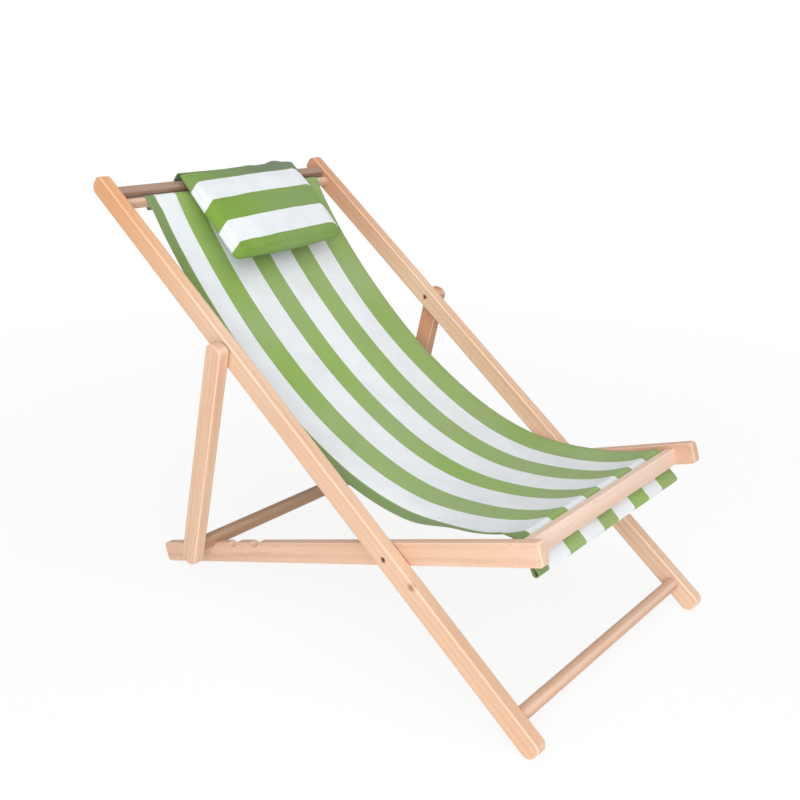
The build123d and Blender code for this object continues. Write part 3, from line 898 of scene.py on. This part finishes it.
def strapSheet():
    line = strapLine()
    lengths = runLengths(line)
    rows = strap["overRows"] + strap["dropRows"]
    piece = startCloth("pillowStrap", strap["columns"], rows)
    places = {}
    for vertex in piece.data.vertices:
        row = round((vertex.co.y + 0.5) * rows)
        across = strap["near"] + (vertex.co.x + 0.5) * (strap["far"] - strap["near"])
        arch = math.sin(math.pi * min(row / strap["overRows"], 1.0))
        lift = ridgeRise(across) + (across - pillowCloth["middle"]) * pillowCloth["skew"]
        free = smoothStep(strap["overRows"] + 1, rows + 1, row)
        sway = math.sin(across * strap["swayPace"] + strap["swayStart"]) * strap["sway"] * free
        vertex.co = onBack(line[row].x + arch * lift, line[row].y + sway, across)
        places[vertex.index] = (across - strap["near"], lengths[row])
    finishCloth(piece, places)
    return piece, lengths[-1]


# the strap is painted in shaded grey-green where it leaves the pillow and goes over the crown: painted shade
def strapShadeTint(tree):
    along = axes(tree, clothFlat(tree))[1]
    share = spread(tree, along, *strap["greenFrom"])
    return blendTint(tree, share, canvas["shadedStrapGreen"], canvas["pillowGreen"])


strapPiece, strapLength = strapSheet()
strapWidth = strap["far"] - strap["near"]
strapSeams = [(0, strap["hem"]), (0, strapWidth - strap["hem"]), (1, strapLength - strap["hem"])]
strapPiece.data.materials.append(canvasFinish("strapCanvas", strapShadeTint, clothFlat, strapSeams))
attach(strapPiece, "back_frame")
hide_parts("pillow_strap")
print("strap made, cloth length", round(strapLength, 3))


# floor, light and camera

studio = {
    "floorSize": 30,
    "floorTint": tint(250, 250, 250),
    "floorGlow": 0.86,
    "floorFade": (0.7, 2.2),        # the shadow fades out between these distances
    "worldLight": 0.40,
    "keySize": 2.6,
    "keyPower": 90,
    "keyFrom": Vector((1.9, -2.4, 1.4)),
    "fillSize": 3.0,
    "fillPower": 36,
    "fillFrom": Vector((0.5, -0.2, 3.2)),
    "aim": Vector((0.0, 0.0, 0.32)),
}


def seenDirectly(tree):
    # what the camera sees, also in a mirror or through glass
    paths = tree.nodes.new("ShaderNodeLightPath")
    seen = calc(tree, "MAXIMUM", paths.outputs["Is Camera Ray"], paths.outputs["Is Glossy Ray"])
    return calc(tree, "MAXIMUM", seen, paths.outputs["Is Transmission Ray"])


def backdrop():
    dropSelection()
    bpy.ops.mesh.primitive_plane_add(size=studio["floorSize"], location=(0, 0, 0))
    floor = bpy.context.object
    floor.name = "floor"
    material, tree, shader = startMaterial("paleFloor")
    shader.inputs["Base Color"].default_value = studio["floorTint"]
    shader.inputs["Roughness"].default_value = 0.9
    glow = tree.nodes.new("ShaderNodeEmission")
    glow.inputs["Strength"].default_value = 1.0
    away = tree.nodes.new("ShaderNodeVectorMath")
    away.operation = "LENGTH"
    feed(tree, away.inputs[0], objectSpot(tree))
    glowing = spread(tree, away.outputs["Value"], *studio["floorFade"], studio["floorGlow"], 1.0)
    mix = tree.nodes.new("ShaderNodeMixShader")
    feed(tree, mix.inputs[0], calc(tree, "MULTIPLY", seenDirectly(tree), glowing))
    feed(tree, mix.inputs[1], shader.outputs[0])
    feed(tree, mix.inputs[2], glow.outputs[0])
    feed(tree, tree.nodes["Material Output"].inputs["Surface"], mix.outputs[0])
    floor.data.materials.append(material)


def softbox(name, place, size, power):
    lamp = bpy.data.lights.new(name, "AREA")
    lamp.size = size
    lamp.energy = power
    holder = bpy.data.objects.new(name, lamp)
    holder.location = place
    holder.rotation_euler = (studio["aim"] - place).to_track_quat("-Z", "Y").to_euler()
    bpy.context.scene.collection.objects.link(holder)


def whiteWorld():
    world = bpy.data.worlds.new("paleRoom")
    world.use_nodes = True
    bpy.context.scene.world = world
    tree = world.node_tree
    ground = tree.nodes["Background"]
    ground.inputs["Color"].default_value = (1, 1, 1, 1)
    light = spread(tree, seenDirectly(tree), 0, 1, studio["worldLight"], 1.0)
    feed(tree, ground.inputs["Strength"], light)


view = {
    "place": Vector((1.0103, -1.2356, 0.9086)),
    "yaw": math.radians(39.35),
    "pitch": math.radians(19.55),
    "roll": math.radians(1.34),
    "focalPixels": 980.2,
    "pictureWidth": 800,
    "sensorWidth": 36,
}


def takeView():
    yaw, pitch, roll = view["yaw"], view["pitch"], view["roll"]
    look = Vector((-math.sin(yaw) * math.cos(pitch), math.cos(yaw) * math.cos(pitch), -math.sin(pitch)))
    level = Vector((math.cos(yaw), math.sin(yaw), 0))
    upright = level.cross(look)
    right = level * math.cos(roll) + upright * math.sin(roll)
    top = upright * math.cos(roll) - level * math.sin(roll)
    camera = bpy.data.cameras.new("viewer")
    camera.sensor_width = view["sensorWidth"]
    camera.lens = view["focalPixels"] / view["pictureWidth"] * view["sensorWidth"]
    holder = bpy.data.objects.new("viewer", camera)
    turned = Matrix((right, top, -look)).transposed().to_4x4()
    holder.matrix_world = Matrix.Translation(view["place"]) @ turned
    bpy.context.scene.collection.objects.link(holder)
    bpy.context.scene.camera = holder


backdrop()
whiteWorld()
softbox("keyLamp", studio["keyFrom"], studio["keySize"], studio["keyPower"])
softbox("fillLamp", studio["fillFrom"], studio["fillSize"], studio["fillPower"])
takeView()
bpy.context.scene.view_settings.view_transform = "Standard"
print("stage set")
